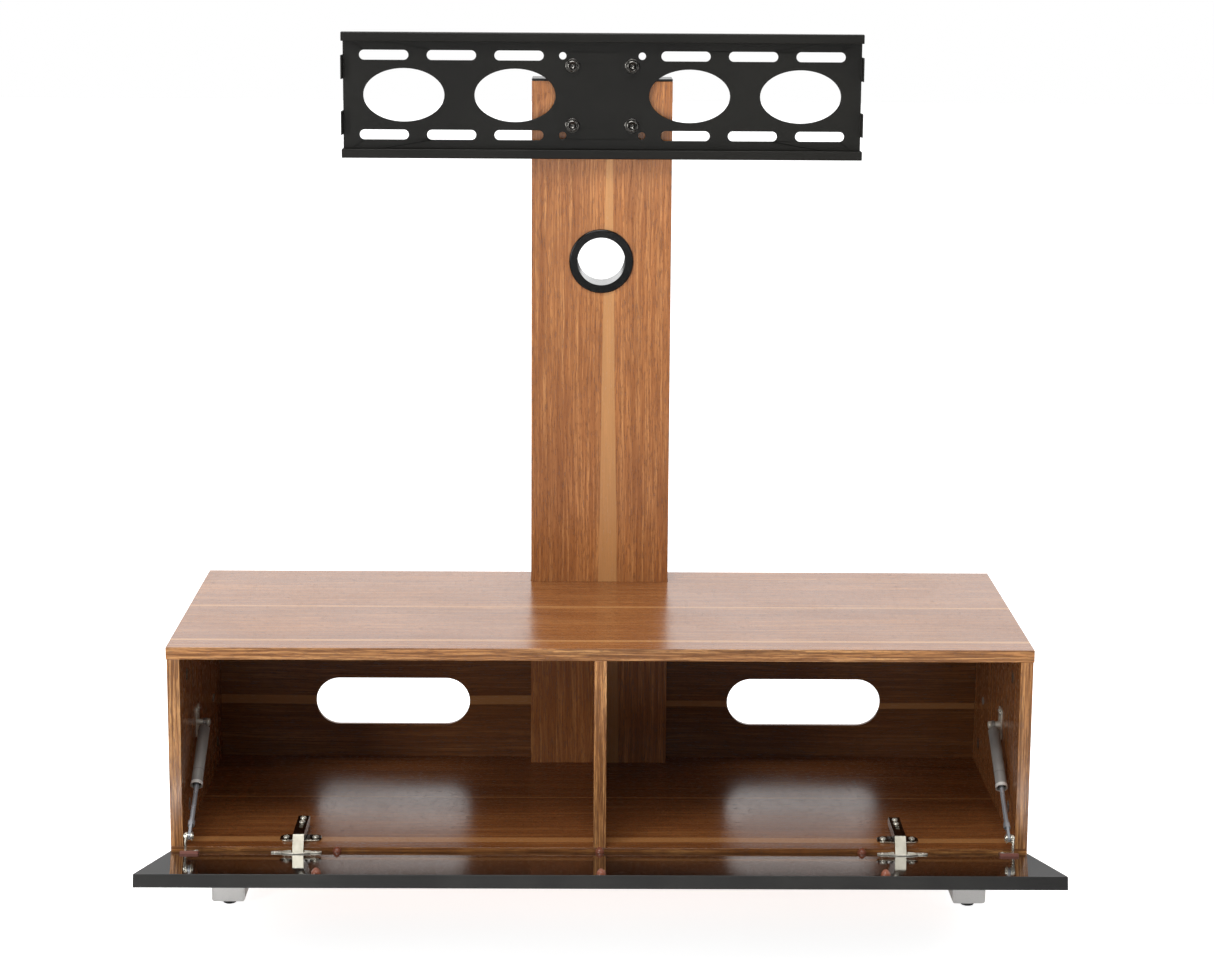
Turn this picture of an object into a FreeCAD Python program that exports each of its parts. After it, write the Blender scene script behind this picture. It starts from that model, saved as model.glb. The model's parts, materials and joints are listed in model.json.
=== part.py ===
import FreeCAD, Part
import math
import os

V = FreeCAD.Vector

# A television stand: a low walnut cabinet on two runners, a drop-down gloss flap across its whole
# front, and a hollow rear post that carries a wall-type television bracket.
# Millimetres. X runs along the cabinet, +Y to the rear, +Z up, floor at Z = 0.
# The parts are drawn with the cabinet's front plane at Y = 0 and moved to the row frame at the end.

# ---------------------------------------------------------------- driving dimensions
width = 1030.0
depth = 366.0
top_z = 332.0
board = 15.0
body_bottom_z = 70.0
side_inset = 1.0

post_width = 178.0
post_depth = 50.0
post_top_z = 985.0
cap_thickness = 3.0
grommet_z = 753.0
grommet_flange_r = 41.0
grommet_bore_r = 30.5
ring_thickness = 3.0

back_thickness = 5.0
back_front_y = depth - 24.0
groove_depth = 6.0
groove_play = 0.2
slot_x = 272.0
slot_z = 161.0
slot_length = 203.0
slot_height = 63.0

bracket_z = 964.0
bracket_width = 656.0
bracket_height = 158.0
bracket_sheet = 2.0
web_setback = 1.5
bracket_reach = 14.0
lip_height = 11.5
head_plate_thickness = 6.0
hole_grid = 100.0
bolt_grid = 75.0

door_width = 1028.0
door_height = 260.0
door_thickness = 15.0
door_gap = 2.5
door_bottom_z = 71.0
door_open_deg = 75.0
pivot_y = -9.2
pivot_z = 75.7

hinge_x = 361.0
cup_r = 17.5
cup_depth = 12.0
cup_centre_up = 22.0
arm_half_width = 6.8
arm_bottom_z = 90.0
arm_top_z = 101.0
arm_end_y = 70.0
neck_lean = 13.0

strut_x = 488.0
anchor_y = 120.0
anchor_z = 202.0
foot_up = 22.0
foot_out = 19.0
tube_r = 6.9
tube_bore_r = 6.3
tube_start = 9.0
tube_end = 96.0
rod_r = 2.75
rod_inner = 58.0

leg_x = 450.0
leg_width = 40.0
leg_front_y = 26.0
leg_length = 314.0
leg_wall = 2.0
leg_corner_r = 3.5
leg_inner_r = 1.5
glide_height = 5.5

cam_r = 7.5
cam_depth = 12.0
cam_offset = 34.0
cam_ys = (56.0, 300.0)
dowel_ys = (92.0, 262.0)

# ---------------------------------------------------------------- derived dimensions
body_top_z = top_z - board
floor_z = body_bottom_z + board
side_outer = width / 2 - side_inset
side_inner = side_outer - board
post_front_y = depth - post_depth
post_half = post_width / 2
board_top_z = post_top_z - cap_thickness
stile_y = (post_front_y + board, depth - board)
web_back_y = post_front_y - head_plate_thickness
web_front_y = web_back_y - bracket_sheet
face_y = -door_gap
open_rad = math.radians(door_open_deg)
free_y = pivot_y - (door_bottom_z + door_height - pivot_z) * math.sin(open_rad)
door_reach = -(free_y + (face_y - door_thickness - pivot_y) * math.cos(open_rad))
frame_shift = V(0, (door_reach - depth - ring_thickness) / 2, 0)

# ---------------------------------------------------------------- shape helpers


def box(x0, x1, y0, y1, z0, z1):
    """A box between two corners."""
    return Part.makeBox(x1 - x0, y1 - y0, z1 - z0, V(x0, y0, z0))


def rod_x(radius, x0, x1, y, z):
    """A cylinder along X."""
    return Part.makeCylinder(radius, x1 - x0, V(x0, y, z), V(1, 0, 0))


def rod_y(radius, x, z, y0, y1):
    """A cylinder along Y."""
    return Part.makeCylinder(radius, y1 - y0, V(x, y0, z), V(0, 1, 0))


def rod_z(radius, x, y, z0, z1):
    """A cylinder along Z."""
    return Part.makeCylinder(radius, z1 - z0, V(x, y, z0), V(0, 0, 1))


def obround_y(x, z, length, height, y0, y1):
    """A slot shape with round ends, long along X and cut along Y."""
    radius = height / 2
    half = length / 2 - radius
    middle = box(x - half, x + half, y0, y1, z - radius, z + radius)
    ends = [rod_y(radius, x + side * half, z, y0, y1) for side in (-1, 1)]
    return middle.fuse(ends).removeSplitter()


def ellipse_y(x, z, length, height, y0, y1):
    """An elliptical prism along Y, long along X."""
    curve = Part.Ellipse(V(x + length / 2, y0, z), V(x, y0, z + height / 2), V(x, y0, z))
    face = Part.Face(Part.Wire(curve.toShape()))
    return face.extrude(V(0, y1 - y0, 0))


def prism_x(points, x0, x1):
    """A polygon given as (y, z) points, extruded along X."""
    wire = Part.makePolygon([V(x0, y, z) for y, z in points + points[:1]])
    return Part.Face(wire).extrude(V(x1 - x0, 0, 0))


def hexagon_y(across_flats, x, z, y0, y1):
    """A hexagonal prism along Y."""
    radius = across_flats / math.sqrt(3)
    corners = []
    for k in range(7):
        angle = math.radians(60 * k)
        corners.append(V(x + radius * math.cos(angle), y0, z + radius * math.sin(angle)))
    return Part.Face(Part.makePolygon(corners)).extrude(V(0, y1 - y0, 0))


def edges_along(shape, direction, test=None):
    """The straight edges of a shape that run along a direction and pass a test."""
    found = []
    for edge in shape.Edges:
        if edge.Curve.TypeId != "Part::GeomLine":
            continue
        if edge.tangentAt(edge.FirstParameter).cross(direction).Length > 1e-6:
            continue
        if test is None or test(edge.CenterOfMass):
            found.append(edge)
    return found


def group(solids):
    """Several separate solids kept as one node."""
    return Part.makeCompound(solids)


def mirrored(shape):
    """The same shape on the other side of the cabinet's centre plane."""
    return shape.mirror(V(0, 0, 0), V(1, 0, 0))


def opened(shape):
    """A piece of the flap, drawn closed, swung to the open rest pose."""
    turned = shape.copy()
    turned.rotate(V(0, pivot_y, pivot_z), V(1, 0, 0), door_open_deg)
    return turned


def opened_point(y, z):
    """Where a point of the closed flap lies once the flap is open."""
    dy, dz = y - pivot_y, z - pivot_z
    cos, sin = math.cos(open_rad), math.sin(open_rad)
    return pivot_y + dy * cos - dz * sin, pivot_z + dy * sin + dz * cos


# ---------------------------------------------------------------- fittings in the boards


def panel_joints():
    """(x, cam mouth x, cam direction) of each upright board that cams and dowels hold."""
    side = (side_inner + side_outer) / 2
    return [(-side, -side_inner, -1), (side, side_inner, 1), (0.0, board / 2, -1)]


def cam_places():
    """(board centre x, cam mouth x, direction, y, cam z, +1 for the top joint) of every cam."""
    places = []
    for x, mouth, direction in panel_joints():
        for y in cam_ys:
            if x == 0 and y > post_front_y - 20:
                continue
            places.append((x, mouth, direction, y, body_top_z - cam_offset, 1))
            places.append((x, mouth, direction, y, floor_z + cam_offset, -1))
    return places


def cam_locks():
    """Cam discs let into the inner faces of the upright boards, with a cross recess."""
    solids = []
    for _, mouth, direction, y, z, _ in cam_places():
        inner = mouth + direction * cam_depth
        disc = rod_x(cam_r, min(mouth, inner), max(mouth, inner), y, z)
        shallow = mouth + direction * 1.5
        low, high = min(mouth, shallow) - 0.1, max(mouth, shallow) + 0.1
        cross = box(low, high, y - 5, y + 5, z - 0.8, z + 0.8)
        cross = cross.fuse(box(low, high, y - 0.8, y + 0.8, z - 5, z + 5))
        solids.append(disc.cut(cross))
    return group(solids)


def bolt_span(z, way, from_cam):
    """The Z range of a cam bolt or its hole, from near the cam's axis into the top or bottom board."""
    if way > 0:
        return z + from_cam, body_top_z + 10
    return floor_z - 10, z - from_cam


def cam_bolts():
    """Steel bolts that stand in the top and bottom boards and reach down or up to the cams."""
    solids = []
    for x, _, _, y, z, way in cam_places():
        low, high = bolt_span(z, way, cam_r + 0.2)
        solids.append(rod_z(3.2, x, y, low, high))
    return group(solids)


def dowel_spans():
    """(x, y, z0, z1) of every dowel between an upright board and the top or bottom board."""
    spans = []
    for x, _, _ in panel_joints():
        for y in dowel_ys:
            spans.append((x, y, body_top_z - 18, body_top_z + 10))
            spans.append((x, y, floor_z - 10, floor_z + 18))
    return spans


def dowels():
    """Beech dowels beside the cam bolts."""
    return group([rod_z(4.0, x, y, z0, z1) for x, y, z0, z1 in dowel_spans()])


def joint_cuts():
    """Everything that the cams, bolts and dowels take out of the boards."""
    cuts = []
    for x, mouth, direction, y, z, way in cam_places():
        inner = mouth + direction * cam_depth
        cuts.append(rod_x(cam_r, min(mouth, inner), max(mouth, inner), y, z))
        low, high = bolt_span(z, way, cam_r / 2)
        cuts.append(rod_z(3.2, x, y, low, high))
    for x, y, z0, z1 in dowel_spans():
        cuts.append(rod_z(4.0, x, y, z0, z1))
    return group(cuts)


def cap_plug_places():
    """Mouth x, direction, y and z of the two plastic hole caps."""
    return [(-side_inner, -1, 268.0, 187.0), (side_inner, 1, 268.0, 187.0)]


def cap_plugs(hole=False):
    """Grey caps in the spare holes of the side panels, or the holes for them."""
    solids = []
    for mouth, direction, y, z in cap_plug_places():
        inner = mouth + direction * 8
        solids.append(rod_x(3.5, min(mouth, inner), max(mouth, inner), y, z))
        if not hole:
            outer = mouth - direction * 0.8
            solids[-1] = solids[-1].fuse(rod_x(5.0, min(mouth, outer), max(mouth, outer), y, z))
    return group(solids)


# ---------------------------------------------------------------- cabinet boards


def back_groove():
    """The groove that holds the back panels, as a frame-shaped cutter."""
    y0 = back_front_y - groove_play
    y1 = back_front_y + back_thickness + groove_play
    reach = side_inner + groove_depth
    low, high = floor_z - groove_depth, body_top_z + groove_depth
    return box(-reach, reach, y0, y1, low, high)


def top_panel():
    """The top board, notched at the rear for the post."""
    panel = box(-width / 2, width / 2, 0, depth, body_top_z, top_z)
    notch = box(-post_half - 0.3, post_half + 0.3, post_front_y - 0.3, depth, body_top_z, top_z)
    return panel.cut([notch, back_groove(), joint_cuts()])


def leg_screw_places():
    """(x, y) of the screws that hold the runners to the bottom board."""
    places = []
    for side in (-1, 1):
        for y in (70.0, 296.0):
            for offset in (-9.0, 9.0):
                places.append((side * leg_x + offset, y))
    return places


def post_screw_places():
    """(x, y) of the screws that come up through the bottom board into the post."""
    front = post_front_y + board / 2
    rear = depth - board / 2
    return [(x, y) for x in (-55.0, 55.0) for y in (front, rear)]


def bottom_panel():
    """The bottom board, with its groove and the holes for every screw that enters it."""
    panel = box(-side_outer, side_outer, 0, depth, body_bottom_z, floor_z)
    cuts = [back_groove(), joint_cuts(), hinge_plate_screws(), post_screws(), leg_screws()]
    return panel.cut(cuts)


def side_panel(side):
    """One side board."""
    x0, x1 = sorted((side * side_inner, side * side_outer))
    panel = box(x0, x1, 0, depth, floor_z, body_top_z)
    return panel.cut([back_groove(), joint_cuts(), cap_plugs(True), anchor_screws()])


def centre_divider():
    """The upright board between the two compartments."""
    panel = box(-board / 2, board / 2, 0, post_front_y, floor_z, body_top_z)
    return panel.cut(joint_cuts())


def back_panel(side):
    """One thin back panel with its cable slot."""
    low, high = floor_z - groove_depth + groove_play, body_top_z + groove_depth - groove_play
    inner = post_half - groove_depth + groove_play
    outer = side_inner + groove_depth - groove_play
    x0, x1 = sorted((side * inner, side * outer))
    y0, y1 = back_front_y, back_front_y + back_thickness
    panel = box(x0, x1, y0, y1, low, high)
    return panel.cut(obround_y(side * slot_x, slot_z, slot_length, slot_height, y0 - 1, y1 + 1))


# ---------------------------------------------------------------- post


def post_board(y0):
    """A front or rear board of the hollow post, bored for the cable grommet."""
    panel = box(-post_half, post_half, y0, y0 + board, floor_z, board_top_z)
    bore = rod_y(grommet_bore_r + 2.5, 0, grommet_z, y0 - 1, y0 + board + 1)
    return panel.cut([bore, post_screws(), post_inserts(True)])


def post_stile(side):
    """A strip between the post's boards, grooved for the back panel."""
    x0, x1 = sorted((side * (post_half - board), side * post_half))
    strip = box(x0, x1, stile_y[0], stile_y[1], floor_z, board_top_z)
    y0 = back_front_y - groove_play
    y1 = back_front_y + back_thickness + groove_play
    g0, g1 = sorted((side * (post_half - groove_depth), side * post_half))
    return strip.cut(box(g0, g1, y0, y1, floor_z, body_top_z + groove_depth))


def post_cap():
    """The black cap on the post, with a plug that drops between the boards."""
    plate = box(-post_half, post_half, post_front_y, depth, board_top_z, post_top_z)
    plug_half = post_half - board - 0.3
    plug = box(-plug_half, plug_half, stile_y[0] + 0.3, stile_y[1] - 0.3, board_top_z - 9, board_top_z)
    hollow_half = plug_half - 2
    hollow = box(-hollow_half, hollow_half, stile_y[0] + 2.3, stile_y[1] - 2.3, board_top_z - 9, board_top_z)
    return plate.fuse(plug).removeSplitter().cut(hollow)


def grommet_flange(y0, thickness):
    """A round-edged flange ring of the grommet."""
    ring = rod_y(grommet_flange_r, 0, grommet_z, y0, y0 + thickness)
    rim = [e for e in ring.Edges if abs(e.Length - 2 * math.pi * grommet_flange_r) < 0.01]
    outer_y = y0 if y0 < post_front_y else y0 + thickness
    rim = [e for e in rim if abs(e.CenterOfMass.y - outer_y) < 0.01]
    return ring.makeFillet(2.0, rim)


def cable_grommet():
    """The front flange and the sleeve that lines the hole through the post."""
    front = post_front_y - ring_thickness
    flange = grommet_flange(front, ring_thickness)
    sleeve = rod_y(grommet_bore_r + 2, 0, grommet_z, front, depth)
    body = flange.fuse(sleeve).removeSplitter()
    return body.cut(rod_y(grommet_bore_r, 0, grommet_z, post_front_y - 5, depth + 5))


def grommet_rear_ring():
    """The matching ring pressed on behind the post."""
    ring = grommet_flange(depth, ring_thickness)
    return ring.cut(rod_y(grommet_bore_r, 0, grommet_z, depth - 1, depth + 5))


def post_screws():
    """Countersunk screws up through the bottom board into the post's boards."""
    solids = []
    for x, y in post_screw_places():
        shank = rod_z(2.4, x, y, body_bottom_z + 3, floor_z + 32)
        head = Part.makeCone(5.0, 2.4, 3.0, V(x, y, body_bottom_z), V(0, 0, 1))
        solids.append(shank.fuse(head))
    return group(solids)


# ---------------------------------------------------------------- television bracket


def channel_profile():
    """The bracket's lipped channel section as (y, z) points."""
    half = bracket_height / 2
    sheet = bracket_sheet
    back, front = web_back_y, web_back_y - bracket_reach
    up = []
    up.append((back, half))
    up.append((front, half))
    up.append((front, half - lip_height))
    up.append((front + sheet, half - lip_height))
    up.append((front + sheet, half - sheet))
    up.append((web_front_y, half - sheet))
    down = [(y, -z) for y, z in reversed(up)]
    return [(y, z + bracket_z) for y, z in up + down]


def tv_bracket():
    """The black channel with its slots, ovals, hole grid and folded end tabs."""
    half = bracket_width / 2
    channel = prism_x(channel_profile(), -half, half)
    outer = edges_along(
        channel,
        V(1, 0, 0),
        lambda c: abs(abs(c.z - bracket_z) - bracket_height / 2) < 0.01,
    )
    channel = channel.makeFillet(1.8, outer)
    y0, y1 = web_front_y - 1, web_back_y + 1
    cuts = []
    for row in (-1, 1):
        z = bracket_z + row * hole_grid / 2
        for x in (105.0, 190.0, 275.0):
            cuts.append(obround_y(x, z, 62.0, 12.4, y0, y1))
            cuts.append(obround_y(-x, z, 62.0, 12.4, y0, y1))
    for x in (110.0, 250.0):
        cuts.append(ellipse_y(x, bracket_z, 102.0, 67.0, y0, y1))
        cuts.append(ellipse_y(-x, bracket_z, 102.0, 67.0, y0, y1))
    for grid, radius in ((hole_grid, 4.6), (bolt_grid, 4.3)):
        for side in (-1, 1):
            for row in (-1, 1):
                cuts.append(rod_y(radius, side * grid / 2, bracket_z + row * grid / 2, y0, y1))
    web_half = half - web_setback
    web_end_z = bracket_height / 2 - lip_height
    tabs = []
    for side in (-1, 1):
        x0, x1 = sorted((side * web_half, side * (half + 1)))
        cuts.append(box(x0, x1, y0, y1, bracket_z - web_end_z, bracket_z + web_end_z))
        x0, x1 = sorted((side * web_half, side * (web_half + bracket_sheet)))
        for z in (-35.0, 35.0):
            low = bracket_z + z - 15
            tabs.append(box(x0, x1, web_back_y - bracket_reach - 1, web_back_y, low, low + 30))
    return channel.cut(cuts).fuse(tabs).removeSplitter()


def head_plate():
    """The steel plate that joins the bracket to the post and reaches above the post."""
    plate = box(-45, 45, web_back_y, post_front_y, bracket_z - 62, bracket_z + 62)
    corners = edges_along(plate, V(0, 1, 0))
    plate = plate.makeFillet(4.0, corners)
    return plate.cut([bracket_bolts(), plate_screws()])


def bolt_places():
    """(x, z) of the four bracket bolts."""
    half = bolt_grid / 2
    return [(x, bracket_z + z) for x in (-half, half) for z in (-half, half)]


def bracket_bolts():
    """Hexagon bolts through washer, bracket and head plate."""
    solids = []
    seat = web_front_y - 1.6
    for x, z in bolt_places():
        head = hexagon_y(13.0, x, z, seat - 5.3, seat)
        cone = rod_y(7.6, x, z, seat - 5.3, seat)
        rim = [e for e in cone.Edges if e.Closed and abs(e.CenterOfMass.y - seat + 5.3) < 0.01]
        head = head.common(cone.makeChamfer(0.9, rim))
        solids.append(head.fuse(rod_y(3.95, x, z, seat, post_front_y + 12)))
    return group(solids)


def bracket_washers():
    """Flat washers under the bolt heads."""
    solids = []
    for x, z in bolt_places():
        disc = rod_y(9.5, x, z, web_front_y - 1.6, web_front_y)
        solids.append(disc.cut(rod_y(4.2, x, z, web_front_y - 2, web_front_y)))
    return group(solids)


def weld_nuts():
    """Nuts welded behind the head plate for the two bolts above the post."""
    solids = []
    for x, z in bolt_places():
        if z > bracket_z:
            nut = hexagon_y(13.0, x, z, post_front_y, post_front_y + 6.5)
            solids.append(nut.cut(rod_y(3.95, x, z, post_front_y - 1, post_front_y + 13)))
    return group(solids)


def plate_screws():
    """Countersunk screws that hold the head plate to the post."""
    solids = []
    for x in (-25.0, 25.0):
        z = bracket_z - 20
        head = Part.makeCone(6.0, 3.0, 3.2, V(x, web_back_y, z), V(0, 1, 0))
        solids.append(head.fuse(rod_y(2.95, x, z, web_back_y + 3.2, post_front_y + 12)))
    return group(solids)


def post_inserts(hole=False):
    """Threaded brass inserts in the post's front board, or the holes for them."""
    solids = []
    places = [(x, z, 3.95) for x, z in bolt_places() if z < bracket_z]
    places += [(x, bracket_z - 20, 2.95) for x in (-25.0, 25.0)]
    for x, z, thread_r in places:
        sleeve = rod_y(5.5, x, z, post_front_y, post_front_y + 13)
        if not hole:
            sleeve = sleeve.cut(rod_y(thread_r, x, z, post_front_y - 1, post_front_y + 14))
        solids.append(sleeve)
    return group(solids)


# ---------------------------------------------------------------- flap and its hinges


def keyhole(x, radius, half_slot, y0, y1, low_z):
    """A round pocket with a slot that runs down to the flap's lower edge."""
    centre_z = door_bottom_z + cup_centre_up
    disc = rod_y(radius, x, centre_z, y0, y1)
    return disc.fuse(box(x - half_slot, x + half_slot, y0, y1, low_z, centre_z)).removeSplitter()


def door_panel():
    """The gloss flap with its two hinge pockets."""
    half = door_width / 2
    y0 = face_y - door_thickness
    z1 = door_bottom_z + door_height
    panel = box(-half, half, y0, face_y, door_bottom_z, z1)
    panel = panel.makeFillet(0.8, panel.Edges)
    cuts = []
    for x in (-hinge_x, hinge_x):
        depth_y = face_y - cup_depth - 0.2
        cuts.append(keyhole(x, cup_r + 0.1, 9.1, depth_y, face_y + 1, door_bottom_z - 1))
    cuts.append(cup_screws_closed())
    cuts.append(foot_screws_closed())
    return opened(panel.cut(cuts))


def hinge_cup(x):
    """The hinge cup with its flange bar, let into the flap."""
    centre_z = door_bottom_z + cup_centre_up
    low_z = door_bottom_z + 0.5
    floor_y = face_y - cup_depth
    shell = keyhole(x, cup_r, 9.0, floor_y, face_y, low_z)
    bar = box(x - 30, x + 30, face_y, face_y + 1.6, centre_z - 7.5, centre_z + 7.5)
    bar = bar.makeFillet(6.0, edges_along(bar, V(0, 1, 0)))
    rim = rod_y(cup_r + 1.5, x, centre_z, face_y, face_y + 1.6)
    body = shell.fuse([bar, rim]).removeSplitter()
    hollow = keyhole(x, cup_r - 1.0, 8.0, floor_y + 1.0, face_y + 3, low_z - 1)
    body = body.cut([hollow, box(x - 8, x + 8, face_y, face_y + 3, low_z - 5, centre_z)])
    cheeks = []
    for side in (-1, 1):
        x0, x1 = sorted((x + side * 7.2, x + side * 9.0))
        cheeks.append(box(x0, x1, floor_y, face_y - 1.2, low_z, pivot_z + 5))
    body = body.fuse(cheeks).removeSplitter()
    return opened(body.cut([rod_x(2.0, x - 9, x + 9, pivot_y, pivot_z), cup_screws_closed()]))


def hinge_pins():
    """The two hinge pins, fixed in the cups."""
    ends = 9.0
    return group([rod_x(2.0, x - ends, x + ends, pivot_y, pivot_z) for x in (-hinge_x, hinge_x)])


def cup_screws_closed():
    """The screws through the ears of the cups, drawn with the flap closed."""
    solids = []
    z = door_bottom_z + cup_centre_up
    for x in (-hinge_x, hinge_x):
        for side in (-1, 1):
            place = x + side * 24
            head = Part.makeCone(1.8, 3.6, 1.6, V(place, face_y, z), V(0, 1, 0))
            solids.append(head.fuse(rod_y(1.8, place, z, face_y - 10, face_y)))
    return group(solids)


def arm_profile():
    """The hinge arm's outline in the YZ plane, from its nose at the pin to its rear end."""
    nose_r = 4.0
    back = pivot_y - 3.5
    front = pivot_y + 4.2
    edge = []
    edge.append(Part.Arc(V(0, back, pivot_z), V(0, pivot_y, pivot_z - nose_r), V(0, front, pivot_z)).toShape())
    edge.append(Part.makeLine(V(0, front, pivot_z), V(0, front, arm_bottom_z - 3)))
    turn = V(0, front + 3 * (1 - math.sqrt(0.5)), arm_bottom_z - 3 + 3 * math.sqrt(0.5))
    edge.append(Part.Arc(V(0, front, arm_bottom_z - 3), turn, V(0, front + 3, arm_bottom_z)).toShape())
    edge.append(Part.makeLine(V(0, front + 3, arm_bottom_z), V(0, arm_end_y, arm_bottom_z)))
    edge.append(Part.makeLine(V(0, arm_end_y, arm_bottom_z), V(0, arm_end_y, arm_top_z - 3)))
    edge.append(Part.makeLine(V(0, arm_end_y, arm_top_z - 3), V(0, arm_end_y - 5, arm_top_z)))
    shoulder = V(0, back + neck_lean, arm_top_z)
    edge.append(Part.makeLine(V(0, arm_end_y - 5, arm_top_z), shoulder))
    edge.append(Part.makeLine(shoulder, V(0, back, pivot_z + 3)))
    edge.append(Part.makeLine(V(0, back, pivot_z + 3), V(0, back, pivot_z)))
    return Part.Wire(edge)


def hinge_arm(x):
    """The bent arm that reaches from the mounting plate over the board edge to the pin."""
    face = Part.Face(arm_profile())
    body = face.extrude(V(2 * arm_half_width, 0, 0))
    body.translate(V(x - arm_half_width, 0, 0))
    hollow = box(x - 5.3, x + 5.3, 4, arm_end_y + 1, arm_bottom_z - 1, arm_top_z - 1.6)
    slot = box(x - 2.4, x + 2.4, 24, 34, arm_top_z - 3, arm_top_z + 1)
    body = body.cut([hollow, slot, rod_x(2.06, x - 20, x + 20, pivot_y, pivot_z)])
    return body.cut(arm_screws())


def hinge_plate(x):
    """The winged mounting plate under the arm."""
    rib = box(x - 5.0, x + 5.0, 8, 64, floor_z, arm_top_z - 1.9)
    wing = box(x - 25, x + 25, 17, 37, floor_z, floor_z + 2.4)
    wing = wing.makeFillet(8.0, edges_along(wing, V(0, 0, 1)))
    body = rib.fuse(wing).removeSplitter()
    return body.cut([hinge_plate_screws(), arm_screws()])


def hinge_plate_screws():
    """The screws through the wings into the bottom board."""
    solids = []
    for x in (-hinge_x, hinge_x):
        for side in (-1, 1):
            place = x + side * 17.5
            shank = rod_z(1.9, place, 27, floor_z - 11, floor_z + 2.4)
            head = rod_z(4.0, place, 27, floor_z + 2.4, floor_z + 4.6)
            rim = [e for e in head.Edges if e.Closed and e.CenterOfMass.z > floor_z + 4]
            solids.append(shank.fuse(head.makeFillet(1.2, rim)))
    return group(solids)


def arm_screws():
    """The clamping screws that stand in the arms."""
    solids = []
    for x in (-hinge_x, hinge_x):
        for y in (42.0, 56.0):
            shank = rod_z(2.0, x, y, floor_z + 4, arm_top_z)
            solids.append(shank.fuse(rod_z(3.6, x, y, arm_top_z, arm_top_z + 2.2)))
    return group(solids)


def bumpers():
    """Soft brown stops along both long edges of the flap's inner face."""
    solids = []
    for x in (-314.0, 0.0, 314.0):
        for up in (7.5, door_height - 8.0):
            z = door_bottom_z + up
            pad = Part.makeCone(5.5, 4.4, 2.2, V(x, face_y, z), V(0, 1, 0))
            solids.append(pad)
    return opened(group(solids))


# ---------------------------------------------------------------- gas struts (drawn on the right)


def foot_closed():
    """(y, z) of the lower strut pivot with the flap closed."""
    return face_y + foot_out, door_bottom_z + foot_up


def strut_line():
    """Start, end and unit direction of the strut's axis at rest, from anchor to foot."""
    y, z = opened_point(*foot_closed())
    start = V(strut_x, anchor_y, anchor_z)
    end = V(strut_x, y, z)
    along = end - start
    return start, end, along / along.Length


def strut_anchor():
    """The plate on the side panel with the stud that carries the strut's upper eye."""
    inner = side_inner - 1.6
    plate = box(inner, side_inner, anchor_y - 2, anchor_y + 18, anchor_z - 20, anchor_z + 20)
    plate = plate.makeFillet(4.0, edges_along(plate, V(1, 0, 0)))
    stud = rod_x(2.5, strut_x - 4, inner, anchor_y, anchor_z)
    collar = rod_x(4.2, strut_x + 2.3, inner, anchor_y, anchor_z)
    knob = rod_x(4.6, strut_x - 6.2, strut_x - 2.3, anchor_y, anchor_z)
    rim = [e for e in knob.Edges if e.Closed and e.CenterOfMass.x < strut_x - 5]
    return plate.fuse([stud, collar, knob.makeFillet(1.2, rim)]).removeSplitter().cut(anchor_screws())


def anchor_screws():
    """The screws of both anchor plates."""
    solids = []
    for side in (-1, 1):
        for dy, dz in ((3.0, -14.0), (13.0, -14.0), (3.0, 14.0), (13.0, 14.0)):
            y, z = anchor_y + dy, anchor_z + dz
            x0, x1 = sorted((side * (side_inner - 1.6), side * (side_inner + 9)))
            shank = rod_x(1.7, x0, x1, y, z)
            h0, h1 = sorted((side * (side_inner - 3.2), side * (side_inner - 1.6)))
            solids.append(shank.fuse(rod_x(3.0, h0, h1, y, z)))
    return group(solids)


def strut_tube():
    """The grey cylinder with its upper eye."""
    start, _, along = strut_line()
    body = Part.makeCylinder(tube_r, tube_end - tube_start, start + along * tube_start, along)
    collar = Part.makeCylinder(tube_r + 0.5, 5, start + along * (tube_end - 5), along)
    neck = Part.makeCylinder(3.4, tube_start - 3.6, start + along * 3.6, along)
    eye = rod_x(5.0, strut_x - 2.0, strut_x + 2.0, anchor_y, anchor_z)
    body = body.fuse([collar, neck, eye]).removeSplitter()
    bore = Part.makeCylinder(tube_bore_r, tube_end, start + along * (tube_start + 4), along)
    side_cut = box(strut_x + 2.0, strut_x + 9, anchor_y - 8, anchor_y + 8, anchor_z - 8, anchor_z + 8)
    other_cut = box(strut_x - 9, strut_x - 2.0, anchor_y - 8, anchor_y + 8, anchor_z - 8, anchor_z + 8)
    near = Part.makeCylinder(8.2, 20, V(strut_x - 10, anchor_y, anchor_z), V(1, 0, 0))
    trims = [side_cut.common(near), other_cut.common(near)]
    return body.cut([bore, rod_x(2.56, strut_x - 9, strut_x + 9, anchor_y, anchor_z)] + trims)


def strut_rod():
    """The steel rod with its flattened end and eye, drawn along the strut's axis."""
    start, end, along = strut_line()
    length = (end - start).Length
    flat_start = length - 20
    rod = Part.makeCylinder(rod_r, flat_start + 4 - rod_inner, start + along * rod_inner, along)
    piston = Part.makeCylinder(3.0, 6, start + along * rod_inner, along)
    ferrule = Part.makeCylinder(4.0, 7, start + along * (flat_start - 2), along)
    across = along.cross(V(1, 0, 0)).normalize()
    corner = start + along * (flat_start + 2) + across * 4.2 - V(1.5, 0, 0)
    blade_length = length - flat_start - 2
    wire = Part.makePolygon(
        [
            corner,
            corner + along * blade_length,
            corner + along * blade_length - across * 8.4,
            corner - across * 8.4,
            corner,
        ]
    )
    blade = Part.Face(wire).extrude(V(3, 0, 0))
    eye = rod_x(4.2, strut_x - 1.5, strut_x + 1.5, end.y, end.z)
    body = rod.fuse([piston, ferrule, blade, eye]).removeSplitter()
    return body.cut(rod_x(2.06, strut_x - 9, strut_x + 9, end.y, end.z))


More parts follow.
